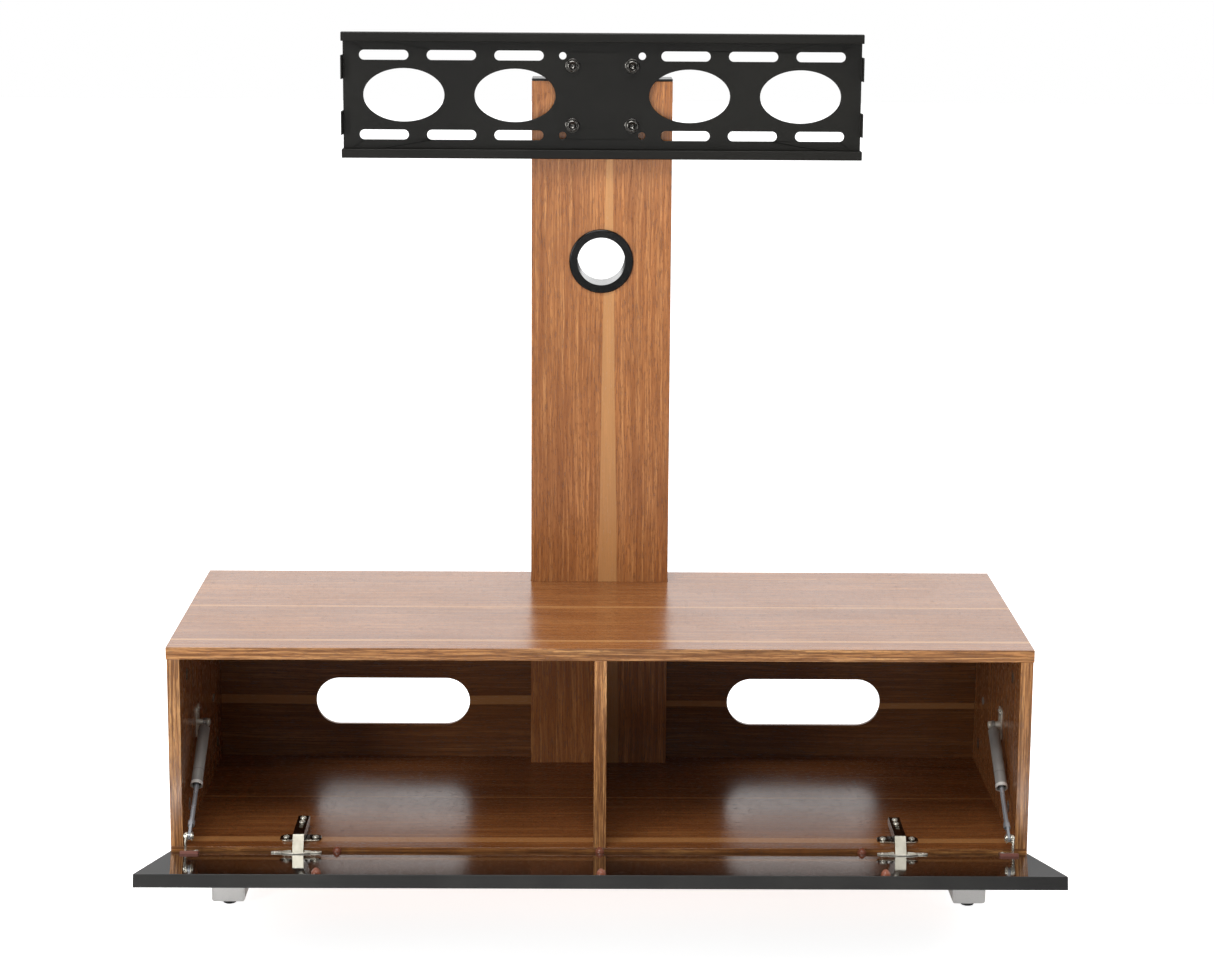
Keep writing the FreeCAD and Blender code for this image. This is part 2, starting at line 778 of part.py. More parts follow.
def strut_foot():
    """The angle bracket on the flap with the stud and discs of the lower pivot."""
    y, z = foot_closed()
    base = box(strut_x - 11, strut_x + 5.5, face_y, face_y + 2, z - 13, z + 9)
    base = base.makeFillet(2.5, edges_along(base, V(0, 1, 0)))
    upright = box(strut_x + 3.5, strut_x + 5.5, face_y + 1, y, z - 5, z + 5)
    tip = rod_x(5.0, strut_x + 3.5, strut_x + 5.5, y, z)
    stud = rod_x(2.0, strut_x - 4, strut_x + 6.5, y, z)
    outer_disc = rod_x(5.4, strut_x + 1.8, strut_x + 3.5, y, z)
    inner_disc = rod_x(5.4, strut_x - 3.6, strut_x - 1.8, y, z)
    button = rod_x(3.2, strut_x - 5.0, strut_x - 3.6, y, z)
    rivet = rod_x(3.4, strut_x + 5.5, strut_x + 6.8, y, z)
    body = base.fuse([upright, tip, stud, outer_disc, inner_disc, button, rivet]).removeSplitter()
    return opened(body.cut(foot_screws_closed()))


def foot_screws_closed():
    """The screws of both foot brackets, drawn with the flap closed."""
    solids = []
    _, z = foot_closed()
    for side in (-1, 1):
        for dz in (-1.0, 5.0):
            x = side * (strut_x - 7.5)
            shank = rod_y(1.3, x, z + dz, face_y - 9, face_y + 2)
            solids.append(shank.fuse(rod_y(2.4, x, z + dz, face_y + 2, face_y + 3.2)))
    return group(solids)


def foot_pads():
    """The brown packing pieces in front of the foot brackets."""
    solids = []
    _, z = foot_closed()
    for side in (-1, 1):
        x0, x1 = sorted((side * (strut_x - 13), side * (strut_x + 9)))
        pad = box(x0, x1, face_y, face_y + 3.0, z + 10, z + 18)
        solids.append(pad.makeFillet(1.2, edges_along(pad, V(0, 1, 0))))
    return opened(group(solids))


# ---------------------------------------------------------------- runners and glides


def leg_runner(side):
    """A rectangular tube with rounded lower corners, running front to back."""
    x = side * leg_x
    half = leg_width / 2
    low, high = glide_height, body_bottom_z
    y1 = leg_front_y + leg_length
    outer = box(x - half, x + half, leg_front_y, y1, low, high)
    lower = edges_along(outer, V(0, 1, 0), lambda c: c.z < low + 1)
    outer = outer.makeFillet(leg_corner_r, lower)
    inner = box(x - half + leg_wall, x + half - leg_wall, leg_front_y, y1, low + leg_wall, high - leg_wall)
    inner = inner.makeFillet(leg_inner_r, edges_along(inner, V(0, 1, 0), lambda c: c.z < low + leg_wall + 1))
    return outer.cut([inner, leg_screws(), glides()])


def leg_caps():
    """The inset plates that close both ends of each runner."""
    solids = []
    wall = leg_wall
    half = leg_width / 2 - wall
    for side in (-1, 1):
        x = side * leg_x
        for y0 in (leg_front_y, leg_front_y + leg_length - wall):
            plate = box(x - half, x + half, y0, y0 + wall, glide_height + wall, body_bottom_z - wall)
            lower = edges_along(plate, V(0, 1, 0), lambda c: c.z < glide_height + wall + 1)
            solids.append(plate.makeFillet(leg_inner_r, lower))
    return group(solids)


def leg_screws():
    """Screws up through the runners' upper walls into the bottom board."""
    solids = []
    for x, y in leg_screw_places():
        shank = rod_z(1.9, x, y, body_bottom_z - leg_wall, floor_z - 3)
        solids.append(shank.fuse(rod_z(3.8, x, y, body_bottom_z - leg_wall - 2, body_bottom_z - leg_wall)))
    return group(solids)


def glides():
    """Black glides pushed into the runners' lower walls."""
    solids = []
    for side in (-1, 1):
        for y in (leg_front_y + 14, leg_front_y + leg_length - 14):
            x = side * leg_x
            foot = rod_z(8.5, x, y, 0, glide_height)
            rim = [e for e in foot.Edges if e.Closed and e.CenterOfMass.z < 0.1]
            foot = foot.makeFillet(1.5, rim)
            solids.append(foot.fuse(rod_z(4.0, x, y, glide_height, glide_height + 7)))
    return group(solids)


# ---------------------------------------------------------------- nodes


def nodes():
    """Every node's name and shape, in the drawing frame."""
    made = {
        "top_panel": top_panel(),
        "bottom_panel": bottom_panel(),
        "side_panel_left": side_panel(-1),
        "side_panel_right": side_panel(1),
        "centre_divider": centre_divider(),
        "back_panel_left": back_panel(-1),
        "back_panel_right": back_panel(1),
        "cam_locks": cam_locks(),
        "cam_bolts": cam_bolts(),
        "wood_dowels": dowels(),
        "hole_caps": cap_plugs(),
        "post_front_board": post_board(post_front_y),
        "post_rear_board": post_board(depth - board),
        "post_stile_left": post_stile(-1),
        "post_stile_right": post_stile(1),
        "post_cap": post_cap(),
        "post_screws": post_screws(),
        "post_insert_nuts": post_inserts(),
        "cable_grommet": cable_grommet(),
        "grommet_rear_ring": grommet_rear_ring(),
        "tv_bracket": tv_bracket(),
        "head_plate": head_plate(),
        "head_plate_screws": plate_screws(),
        "bracket_bolts": bracket_bolts(),
        "bracket_washers": bracket_washers(),
        "bracket_weld_nuts": weld_nuts(),
        "door_panel": door_panel(),
        "door_bumpers": bumpers(),
        "hinge_pins": hinge_pins(),
        "hinge_cup_screws": opened(cup_screws_closed()),
        "hinge_plate_screws": hinge_plate_screws(),
        "hinge_arm_screws": arm_screws(),
        "strut_anchor_screws": anchor_screws(),
        "strut_foot_screws": opened(foot_screws_closed()),
        "strut_foot_pads": foot_pads(),
        "leg_left": leg_runner(-1),
        "leg_right": leg_runner(1),
        "leg_end_caps": leg_caps(),
        "leg_screws": leg_screws(),
        "glides": glides(),
    }
    for name, x in (("left", -hinge_x), ("right", hinge_x)):
        made["hinge_cup_" + name] = hinge_cup(x)
        made["hinge_arm_" + name] = hinge_arm(x)
        made["hinge_plate_" + name] = hinge_plate(x)
    for kind, make in (
        ("strut_anchor", strut_anchor),
        ("strut_tube", strut_tube),
        ("strut_rod", strut_rod),
        ("strut_foot", strut_foot),
    ):
        right = make()
        made[kind + "_right"] = right
        made[kind + "_left"] = mirrored(right)
    return made


def main():
    os.makedirs("parts", exist_ok=True)
    for name, shape in nodes().items():
        placed = shape.copy()
        placed.translate(frame_shift)
        placed.exportStep("parts/" + name + ".step")
    start, end, _ = strut_line()
    print("frame shift y", round(frame_shift.y, 4))
    print("flap pivot", round(pivot_y + frame_shift.y, 4), pivot_z)
    print("strut anchor", round(start.y + frame_shift.y, 4), round(start.z, 4))
    print("strut foot", round(end.y + frame_shift.y, 4), round(end.z, 4))


main()
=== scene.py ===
import json
import math

import bpy
import bmesh
from mathutils import Matrix, Vector


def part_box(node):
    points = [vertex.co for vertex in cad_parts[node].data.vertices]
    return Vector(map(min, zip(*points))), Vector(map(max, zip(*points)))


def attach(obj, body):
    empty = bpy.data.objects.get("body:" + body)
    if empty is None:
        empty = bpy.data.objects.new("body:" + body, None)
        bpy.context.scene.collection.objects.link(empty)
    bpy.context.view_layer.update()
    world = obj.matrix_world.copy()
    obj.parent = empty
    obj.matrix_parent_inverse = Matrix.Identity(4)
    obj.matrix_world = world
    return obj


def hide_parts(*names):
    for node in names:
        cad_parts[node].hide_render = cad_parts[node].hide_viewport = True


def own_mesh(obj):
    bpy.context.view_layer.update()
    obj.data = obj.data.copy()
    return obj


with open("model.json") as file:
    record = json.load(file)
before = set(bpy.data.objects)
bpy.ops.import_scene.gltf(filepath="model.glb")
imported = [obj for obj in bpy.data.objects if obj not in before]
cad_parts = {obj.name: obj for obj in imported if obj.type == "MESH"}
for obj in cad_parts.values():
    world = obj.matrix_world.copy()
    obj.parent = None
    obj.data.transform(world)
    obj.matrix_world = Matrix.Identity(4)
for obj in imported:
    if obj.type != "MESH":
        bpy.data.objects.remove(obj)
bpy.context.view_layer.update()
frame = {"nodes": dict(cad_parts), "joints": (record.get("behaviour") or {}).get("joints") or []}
nodes = frame["nodes"]

# ---------------------------------------------------------------- places, directions and limits

MM = 0.001
X, Y, Z = 0, 1, 2
SIDES = ("left", "right")
OPEN_ANGLE = math.radians(frame["joints"][0]["range_deg"][1])
FACE = Vector((0.0, math.cos(OPEN_ANGLE), math.sin(OPEN_ANGLE)))  # out of the open flap's inner face
FORWARD = (0.0, -1.0, 0.0)
UPWARD = (0.0, 0.0, 1.0)
RIGHTWARD = (1.0, 0.0, 0.0)
LEFTWARD = (-1.0, 0.0, 0.0)

SMOOTH_LIMIT = math.radians(34)  # sharper edges of a turned piece stay crisp
BEVEL_LIMIT = math.radians(50)   # sharper edges of a CAD node are rounded
WELD_REACH = 1e-6
HEX_SIXTH = math.pi / 3

# ---------------------------------------------------------------- shader graph helper


class Graph:
    """Builds one material's node tree in few words."""

    def __init__(self, name):
        self.material = bpy.data.materials.new(name)
        self.material.use_nodes = True
        self.tree = self.material.node_tree
        self.shader = next(n for n in self.tree.nodes if n.type == "BSDF_PRINCIPLED")

    def node(self, kind, **settings):
        made = self.tree.nodes.new(kind)
        for key, value in settings.items():
            setattr(made, key, value)
        return made

    def feed(self, socket, value):
        """Links a socket, or sets its default to a number or a tuple."""
        if isinstance(value, bpy.types.NodeSocket):
            self.tree.links.new(value, socket)
        else:
            socket.default_value = value

    def coords(self, output="Object"):
        return self.node("ShaderNodeTexCoord").outputs[output]

    def axes(self, vector):
        made = self.node("ShaderNodeSeparateXYZ")
        self.feed(made.inputs[0], vector)
        return made.outputs[0], made.outputs[1], made.outputs[2]

    def combine(self, x, y, z):
        made = self.node("ShaderNodeCombineXYZ")
        for socket, value in zip(made.inputs, (x, y, z)):
            self.feed(socket, value)
        return made.outputs[0]

    def math(self, operation, a, b=0.0):
        made = self.node("ShaderNodeMath", operation=operation)
        self.feed(made.inputs[0], a)
        self.feed(made.inputs[1], b)
        return made.outputs[0]

    def average(self, a, b, share=0.5):
        """A weighted mean of two numbers; share is the first one's part."""
        return self.math("ADD", self.math("MULTIPLY", a, share), self.math("MULTIPLY", b, 1.0 - share))

    def between(self, factor, a, b):
        """A number that goes from a to b."""
        rest = self.math("MULTIPLY", self.math("SUBTRACT", 1.0, factor), a)
        return self.math("ADD", rest, self.math("MULTIPLY", factor, b))

    def centred(self, value, width):
        """A value of 0 to 1 as a width about zero."""
        return self.math("MULTIPLY", self.math("SUBTRACT", value, 0.5), width)

    def vector_math(self, operation, vector, by):
        made = self.node("ShaderNodeVectorMath", operation=operation)
        self.feed(made.inputs[0], vector)
        self.feed(made.inputs[1], by)
        return made.outputs

    def scaled(self, vector, factors):
        return self.vector_math("MULTIPLY", vector, factors)[0]

    def shifted(self, vector, offset):
        return self.vector_math("ADD", vector, offset)[0]

    def dot(self, vector, direction):
        return self.vector_math("DOT_PRODUCT", vector, direction)["Value"]

    def facing(self, direction):
        """How far the object's own surface faces a direction, from -1 to 1."""
        return self.dot(self.coords("Normal"), tuple(direction))

    def noise(self, vector, scale=1.0, detail=3.0, roughness=0.5, distortion=0.0):
        made = self.node("ShaderNodeTexNoise")
        self.feed(made.inputs["Vector"], vector)
        made.inputs["Scale"].default_value = scale
        made.inputs["Detail"].default_value = detail
        made.inputs["Roughness"].default_value = roughness
        made.inputs["Distortion"].default_value = distortion
        return made.outputs[0]

    def random(self, value):
        """A fixed random number for each whole value."""
        made = self.node("ShaderNodeTexWhiteNoise", noise_dimensions="1D")
        self.feed(made.inputs["W"], value)
        return made.outputs["Value"]

    def span(self, value, low, high, to_low=0.0, to_high=1.0):
        """Maps a value smoothly from one range to another, clamped."""
        made = self.node("ShaderNodeMapRange", interpolation_type="SMOOTHSTEP")
        for socket, number in zip(made.inputs, (value, low, high, to_low, to_high)):
            self.feed(socket, number)
        return made.outputs[0]

    def blend(self, factor, a, b, operation="MIX"):
        """Goes from colour a to colour b."""
        made = self.node("ShaderNodeMix", data_type="RGBA", blend_type=operation)
        self.feed(made.inputs["Factor"], factor)
        self.feed(made.inputs[6], a)
        self.feed(made.inputs[7], b)
        return made.outputs[2]

    def tint(self, colour, by):
        """Multiplies two colours."""
        return self.blend(1.0, colour, by, "MULTIPLY")

    def relief(self, height, distance, strength=1.0):
        """Bumps the surface by a height, in metres of depth."""
        made = self.node("ShaderNodeBump")
        made.inputs["Strength"].default_value = strength
        made.inputs["Distance"].default_value = distance
        self.feed(made.inputs["Height"], height)
        self.feed(self.shader.inputs["Normal"], made.outputs["Normal"])

    def set(self, **values):
        """Sets or links the shader's sockets: base_color, roughness, metallic and so on."""
        for key, value in values.items():
            socket = next(s for s in self.shader.inputs if s.name.lower().replace(" ", "_") == key)
            self.feed(socket, value)
        return self.material


def rgb(red, green, blue):
    """A display colour of 0 to 255 as a linear shader colour."""
    linear = []
    for channel in (red, green, blue):
        c = channel / 255
        linear.append(c / 12.92 if c <= 0.04045 else ((c + 0.055) / 1.055) ** 2.4)
    return (*linear, 1.0)


def grey(level):
    """A linear shader grey."""
    return (level, level, level, 1.0)


# ---------------------------------------------------------------- walnut laminate

WALNUT_DARK = rgb(134, 82, 46)
WALNUT_MID = rgb(174, 113, 64)
WALNUT_LIGHT = rgb(206, 148, 92)
SAPWOOD = rgb(196, 144, 92)
PORE = rgb(90, 52, 28)

# How many noise cells a metre holds along the grain, across it and into the board.
DRIFT_CELLS = (2.2, 3.0)
SWAY_CELLS = (17.0, 24.0)
FIGURE_CELLS = (1.2, 24.0, 24.0)
STREAK_CELLS = (3.5, 150.0, 150.0)
FIBRE_CELLS = (11.0, 430.0, 430.0)
PORE_CELLS = (105.0, 1000.0, 1000.0)
RING_COUNT = 11.0

DRIFT_WIDTH = 16 * MM
SWAY_WIDTH = 3 * MM
PLANK = 85 * MM
PLANK_JUMP = 7.0             # the most that a plank's print is moved along the grain, in metres
SEED_SLIP = 0.37             # part of a plank that each seed moves the joints by
BAND_HUE = (1.0, 1.17, 1.3)  # the edge band is greyer than the faces
LAMINATE_GLOSS = 0.22


def grain_lanes(g, grain, across, seed, plank):
    """Coordinates that follow wavy planks, the plank's own random number, and the places along and across."""
    parts = g.axes(g.coords())
    along, side, deep = parts[grain], parts[across], parts[3 - grain - across]
    bends = []
    for cells, width in ((DRIFT_CELLS, DRIFT_WIDTH), (SWAY_CELLS, SWAY_WIDTH)):
        place = g.combine(g.math("MULTIPLY", along, cells[0]), g.math("MULTIPLY", side, cells[1]), seed)
        bends.append(g.centred(g.noise(place, detail=1.0), width))
    joint = g.math("ADD", side, g.math("MULTIPLY", bends[0], 0.5))
    index = g.math("FLOOR", g.math("ADD", g.math("DIVIDE", joint, plank), seed * SEED_SLIP))
    choice = g.random(g.math("ADD", index, seed))
    shift = g.math("MULTIPLY", choice, PLANK_JUMP)
    bent = g.math("ADD", side, g.math("ADD", *bends))
    return g.combine(g.math("ADD", along, shift), bent, deep), choice, along, joint


def walnut(name, grain, across, seed, stripes=(), plank=PLANK, tone=1.0, band=1.0, painted_warm_light=0.0):
    """Printed walnut. Grain and across are axis numbers; stripes are (place, width, growth) of pale wood.
    Tone scales the whole board's colour, painting shade on the inner boards and light on the post; band
    lightens its front edge; and the warm light setting takes green and blue out of it, a painted warm cast of
    bounced light."""
    g = Graph(name)
    lane, choice, along, joint = grain_lanes(g, grain, across, seed, plank)

    offset = (seed, seed, 0.0)
    figure = g.noise(g.shifted(g.scaled(lane, FIGURE_CELLS), offset), detail=2.0, distortion=0.8)
    rings = g.math("PINGPONG", g.math("MULTIPLY", figure, RING_COUNT), 1.0)
    streak = g.noise(g.scaled(lane, STREAK_CELLS), detail=3.0, roughness=0.6)
    fibre = g.noise(g.scaled(lane, FIBRE_CELLS), detail=3.0, roughness=0.7)
    pore = g.noise(g.scaled(lane, PORE_CELLS), detail=1.0)

    colour = g.blend(g.span(figure, 0.3, 0.7, 0.3, 1.0), WALNUT_DARK, WALNUT_MID)
    colour = g.blend(g.span(streak, 0.42, 0.66, 0.0, 0.42), colour, WALNUT_LIGHT)
    colour = g.blend(g.span(rings, 0.0, 0.28, 0.24, 0.0), colour, WALNUT_DARK)
    bright = g.span(choice, 0.0, 1.0, 0.95, 1.05)
    colour = g.tint(colour, g.combine(bright, bright, bright))
    colour = g.blend(g.span(fibre, 0.36, 0.64, 0.75, 0.0), colour, WALNUT_DARK)
    colour = g.blend(g.span(fibre, 0.56, 0.7, 0.0, 0.35), colour, WALNUT_LIGHT)
    colour = g.blend(g.span(pore, 0.36, 0.46, 0.5, 0.0), colour, PORE)

    # Painted light and shade: tone darkens or lightens the board for the shade or light that falls on it, the
    # warm setting tints it like warm bounced light, and the pale stripes follow both.
    painted_warm_tint = (1.0, 1.0 - 0.5 * painted_warm_light, 1.0 - painted_warm_light)
    colour = g.tint(colour, (*(tone * part for part in painted_warm_tint), 1.0))
    pale = tone ** 0.35
    sap = (*(SAPWOOD[k] * pale * painted_warm_tint[k] for k in range(3)), 1.0)
    for place, width, growth in stripes:
        half = g.math("ADD", g.math("MULTIPLY", along, growth), width / 2)
        inside = g.math("SUBTRACT", half, g.math("ABSOLUTE", g.math("SUBTRACT", joint, place)))
        colour = g.blend(g.span(inside, -0.8 * MM, 1 * MM, 0.0, 0.74), colour, sap)

    if band != 1.0:
        front = g.span(g.facing(FORWARD), 0.5, 0.8)
        lines = g.math("MULTIPLY", front, g.span(fibre, 0.42, 0.55, 0.6, 0.0))
        colour = g.blend(lines, colour, PORE)
        shade = (*(band * part for part in BAND_HUE), 1.0)
        colour = g.tint(colour, g.blend(front, grey(1.0), shade))

    smear = g.noise(g.coords(), scale=9.0, detail=3.0)
    open_pore = g.span(pore, 0.28, 0.42, 0.12, 0.0)
    polish = g.span(smear, 0.3, 0.7, LAMINATE_GLOSS - 0.03, LAMINATE_GLOSS + 0.04)
    g.relief(g.math("ADD", g.math("MULTIPLY", fibre, 0.5), g.span(pore, 0.28, 0.42)), 0.05 * MM, 0.5)
    return g.set(base_color=colour, roughness=g.math("ADD", polish, open_pore), ior=1.5)


# ---------------------------------------------------------------- other finishes


def gloss_flap():
    """Black high-gloss faces with satin edge bands, told apart by the panel's own facing."""
    g = Graph("black_gloss_flap")
    broad = g.span(g.math("ABSOLUTE", g.facing(FACE)), 0.85, 0.97)
    speck = g.noise(g.coords(), scale=900.0, detail=2.0)
    haze = g.noise(g.coords(), scale=14.0, detail=4.0)
    edge = g.blend(g.span(haze, 0.35, 0.7), rgb(25, 24, 23), rgb(33, 32, 30))
    satin = g.span(speck, 0.3, 0.7, 0.34, 0.46)
    gloss = g.span(haze, 0.35, 0.75, 0.03, 0.07)
    grain = g.math("SUBTRACT", 1.0, g.math("MULTIPLY", broad, 0.97))
    g.relief(g.math("MULTIPLY", speck, grain), 0.08 * MM, 0.5)
    colour = g.blend(broad, edge, rgb(7, 7, 7))
    return g.set(base_color=colour, roughness=g.between(broad, satin, gloss), ior=1.5)


def powder_black():
    """Powder-coated steel: a fine even texture and slightly rubbed tone."""
    g = Graph("satin_black_steel")
    speck = g.noise(g.coords(), scale=1 / (0.6 * MM), detail=2.0)
    cloud = g.noise(g.coords(), scale=7.0, detail=4.0)
    shade = g.blend(g.span(cloud, 0.3, 0.7), rgb(20, 19, 16), rgb(27, 26, 22))
    rough = g.span(g.average(speck, cloud), 0.35, 0.65, 0.34, 0.44)
    g.relief(speck, 0.12 * MM, 0.35)
    return g.set(base_color=shade, roughness=rough, ior=1.5, specular_ior_level=0.4)


def painted(name, colour, metallic, rough_low, rough_high):
    """Metallic paint: fine flakes under an even coat."""
    g = Graph(name)
    flake = g.noise(g.coords(), scale=2600.0, detail=1.0)
    cloud = g.noise(g.coords(), scale=22.0, detail=4.0)
    deep = g.tint(colour, grey(0.8))
    tone = g.blend(g.span(g.average(flake, cloud, 0.6), 0.35, 0.65), deep, colour)
    g.relief(flake, 0.03 * MM, 0.4)
    rough = g.span(cloud, 0.3, 0.7, rough_low, rough_high)
    return g.set(base_color=tone, metallic=metallic, roughness=rough, ior=1.5)


def plated(name, colour, rough_low, rough_high, metallic=1.0):
    """Plated or bare metal with rub marks and a slightly uneven polish."""
    g = Graph(name)
    cloud = g.noise(g.coords(), scale=60.0, detail=4.0)
    line = g.noise(g.coords(), scale=900.0, detail=3.0, roughness=0.6)
    tone = g.blend(g.span(cloud, 0.35, 0.7), g.tint(colour, grey(0.72)), colour)
    rough = g.span(g.average(cloud, line), 0.35, 0.65, rough_low, rough_high)
    g.relief(line, 0.04 * MM, 0.3)
    return g.set(base_color=tone, roughness=rough, metallic=metallic, ior=1.5)


def moulded(name, colour, rough_low, rough_high):
    """Moulded plastic or rubber with a fine skin."""
    g = Graph(name)
    speck = g.noise(g.coords(), scale=1 / (0.9 * MM), detail=2.0)
    cloud = g.noise(g.coords(), scale=40.0, detail=3.0)
    tone = g.blend(g.span(cloud, 0.3, 0.7), g.tint(colour, grey(0.78)), colour)
    g.relief(speck, 0.1 * MM, 0.4)
    return g.set(base_color=tone, roughness=g.span(speck, 0.3, 0.7, rough_low, rough_high), ior=1.48)


def sprung_steel():
    """Nickel with painted light: its front is painted bright and its top dark, a painted highlight from the
    lamps in front and a painted reflection of the dim inside; the front is also rougher than the top.
    """
    g = Graph("hinge_steel")
    # Painted light: front-facing faces take the bright painted highlight colour, the others the dark painted
    # shade and reflection colour.
    front = g.span(g.facing(FORWARD), 0.4, 0.75)
    cloud = g.noise(g.coords(), scale=90.0, detail=4.0)
    dark = g.blend(g.span(cloud, 0.3, 0.7), rgb(112, 106, 98), rgb(150, 144, 134))
    bright = g.blend(g.span(cloud, 0.3, 0.7), rgb(206, 200, 182), rgb(226, 221, 206))
    smooth = g.span(cloud, 0.3, 0.7, 0.08, 0.16)
    soft = g.span(cloud, 0.3, 0.7, 0.34, 0.44)
    g.relief(cloud, 0.06 * MM, 0.3)
    rough = g.between(front, smooth, soft)
    return g.set(base_color=g.blend(front, dark, bright), metallic=1.0, roughness=rough)


TUBE_LENGTH = 96 * MM       # from the upper eye to the cylinder's mouth
TUBE_EYE_RADIUS = 5 * MM
ROD_EYE_RADIUS = 4.2 * MM
SEAM_FROM_MOUTH = 22 * MM
COLLAR_LENGTH = 4.4 * MM


def strut_paint(side):
    """Grey paint on a strut's cylinder, with a fine seam and a bright collar at its mouth."""
    upper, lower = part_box("strut_tube_" + side)[1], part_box("strut_rod_" + side)[0]
    start = Vector((0.0, upper[1] - TUBE_EYE_RADIUS, upper[2] - TUBE_EYE_RADIUS))
    end = Vector((0.0, lower[1] + ROD_EYE_RADIUS, lower[2] + ROD_EYE_RADIUS))
    g = Graph("strut_grey_" + side)
    down = g.dot(g.shifted(g.coords(), tuple(-start)), tuple((end - start).normalized()))
    flake = g.noise(g.coords(), scale=2600.0, detail=1.0)
    cloud = g.noise(g.coords(), scale=30.0, detail=4.0)
    paint = g.blend(g.span(g.average(flake, cloud), 0.35, 0.65), rgb(136, 134, 130), rgb(164, 162, 158))
    seam = g.math("ABSOLUTE", g.math("SUBTRACT", down, TUBE_LENGTH - SEAM_FROM_MOUTH))
    paint = g.blend(g.span(seam, 0.2 * MM, 0.7 * MM, 0.55, 0.0), paint, rgb(80, 78, 76))
    collar_start = TUBE_LENGTH - COLLAR_LENGTH
    collar = g.span(down, collar_start - 0.2 * MM, collar_start + 0.2 * MM)
    g.relief(flake, 0.03 * MM, 0.4)
    tone = g.blend(collar, paint, rgb(226, 224, 218))
    return g.set(base_color=tone, metallic=0.25, roughness=g.span(cloud, 0.3, 0.7, 0.3, 0.42), ior=1.5)


def beech():
    """Plain dowel wood."""
    g = Graph("beech_dowel")
    fibre = g.noise(g.scaled(g.coords(), (500.0, 500.0, 30.0)), detail=3.0)
    colour = g.blend(g.span(fibre, 0.35, 0.65), rgb(196, 158, 112), rgb(222, 188, 142))
    g.relief(fibre, 0.1 * MM, 0.4)
    return g.set(base_color=colour, roughness=g.span(fibre, 0.3, 0.7, 0.5, 0.65))


# ---------------------------------------------------------------- finishes on the CAD nodes


def finish_node(name, material, edge=0.0):
    """Gives a CAD node a material and, where asked, edges rounded by so many millimetres."""
    piece = nodes[name]
    piece.data.materials.clear()
    piece.data.materials.append(material)
    if edge:
        weld = piece.modifiers.new("weld", "WELD")
        weld.merge_threshold = WELD_REACH
        bevel = piece.modifiers.new("arris", "BEVEL")
        bevel.width = edge * MM
        bevel.segments = 2
        bevel.limit_method = "ANGLE"
        bevel.angle_limit = BEVEL_LIMIT
        bevel.use_clamp_overlap = False
        bevel.harden_normals = True


def dress_cabinet():
    """Walnut on the boards, each with its own grain, planks and pale stripes; tone paints shade on the inner
    boards and light on the post.
    """
    top_stripes = ((133 * MM, 6 * MM, 0.0), (-21 * MM, 8 * MM, 0.0))
    top = walnut("walnut_top", X, Y, 3.0, top_stripes, plank=150 * MM, tone=0.96, band=1.4)
    finish_node("top_panel", top, 0.6)
    bottom_stripes = ((124 * MM, 4 * MM, 0.0), (-28 * MM, 16 * MM, 0.0))
    plank = 110 * MM
    # Painted shade: tone 0.7 darkens the bottom board inside the body, and the warm setting paints the warm
    # cast of bounced light on it.
    bottom = walnut("walnut_bottom", X, Y, 8.0, bottom_stripes, plank, tone=0.7, band=1.45, painted_warm_light=0.2)
    finish_node("bottom_panel", bottom, 0.6)
    finish_node("side_panel_left", walnut("walnut_side_left", Z, Y, 12.0, band=1.25), 0.6)
    finish_node("side_panel_right", walnut("walnut_side_right", Z, Y, 15.0, band=1.25), 0.6)
    finish_node("centre_divider", walnut("walnut_divider", Z, Y, 19.0, band=1.55), 0.6)
    # Painted shade: the back boards are darkened to tone 0.55 and 0.5 for the dim inside, with a painted warm
    # cast of bounced light.
    left_stripes = ((163 * MM, 12 * MM, 0.0),)
    left_back = walnut("walnut_back_left", X, Z, 23.0, left_stripes, tone=0.55, painted_warm_light=0.1)
    finish_node("back_panel_left", left_back)
    right_stripes = ((158 * MM, 8 * MM, 0.0),)
    right_back = walnut("walnut_back_right", X, Z, 27.0, right_stripes, tone=0.5, painted_warm_light=0.1)
    finish_node("back_panel_right", right_back)
    narrowing = ((10.5 * MM, 34.2 * MM, -0.0144),)
    # Painted light: tone 1.17 lightens the post's front board as if more front light fell on it.
    post = walnut("walnut_post_front", Z, X, 31.0, narrowing, plank=120 * MM, tone=1.17)
    finish_node("post_front_board", post, 0.5)
    finish_node("post_rear_board", walnut("walnut_post_rear", Z, X, 35.0, plank=120 * MM), 0.5)
    finish_node("post_stile_left", walnut("walnut_stile_left", Z, Y, 39.0), 0.4)
    finish_node("post_stile_right", walnut("walnut_stile_right", Z, Y, 43.0), 0.4)


def dress_bracket():
    """Powder-coated steel and black plastic on the post's fittings."""
    steel = powder_black()
    finish_node("tv_bracket", steel, 0.7)
    finish_node("head_plate", steel, 0.5)
    finish_node("post_cap", moulded("black_cap", rgb(30, 30, 30), 0.3, 0.42), 0.5)
    plastic = moulded("black_plastic", rgb(13, 13, 13), 0.14, 0.22)
    finish_node("cable_grommet", plastic)
    finish_node("grommet_rear_ring", plastic)


def dress_runners():
    """Silver paint on the runners, black plastic on their glides."""
    silver = painted("silver_leg", rgb(200, 199, 197), 0.12, 0.32, 0.42)
    for side in SIDES:
        finish_node("leg_" + side, silver, 0.5)
    finish_node("leg_end_caps", silver)
    finish_node("glides", moulded("black_glide", rgb(22, 22, 22), 0.5, 0.65), 0.4)


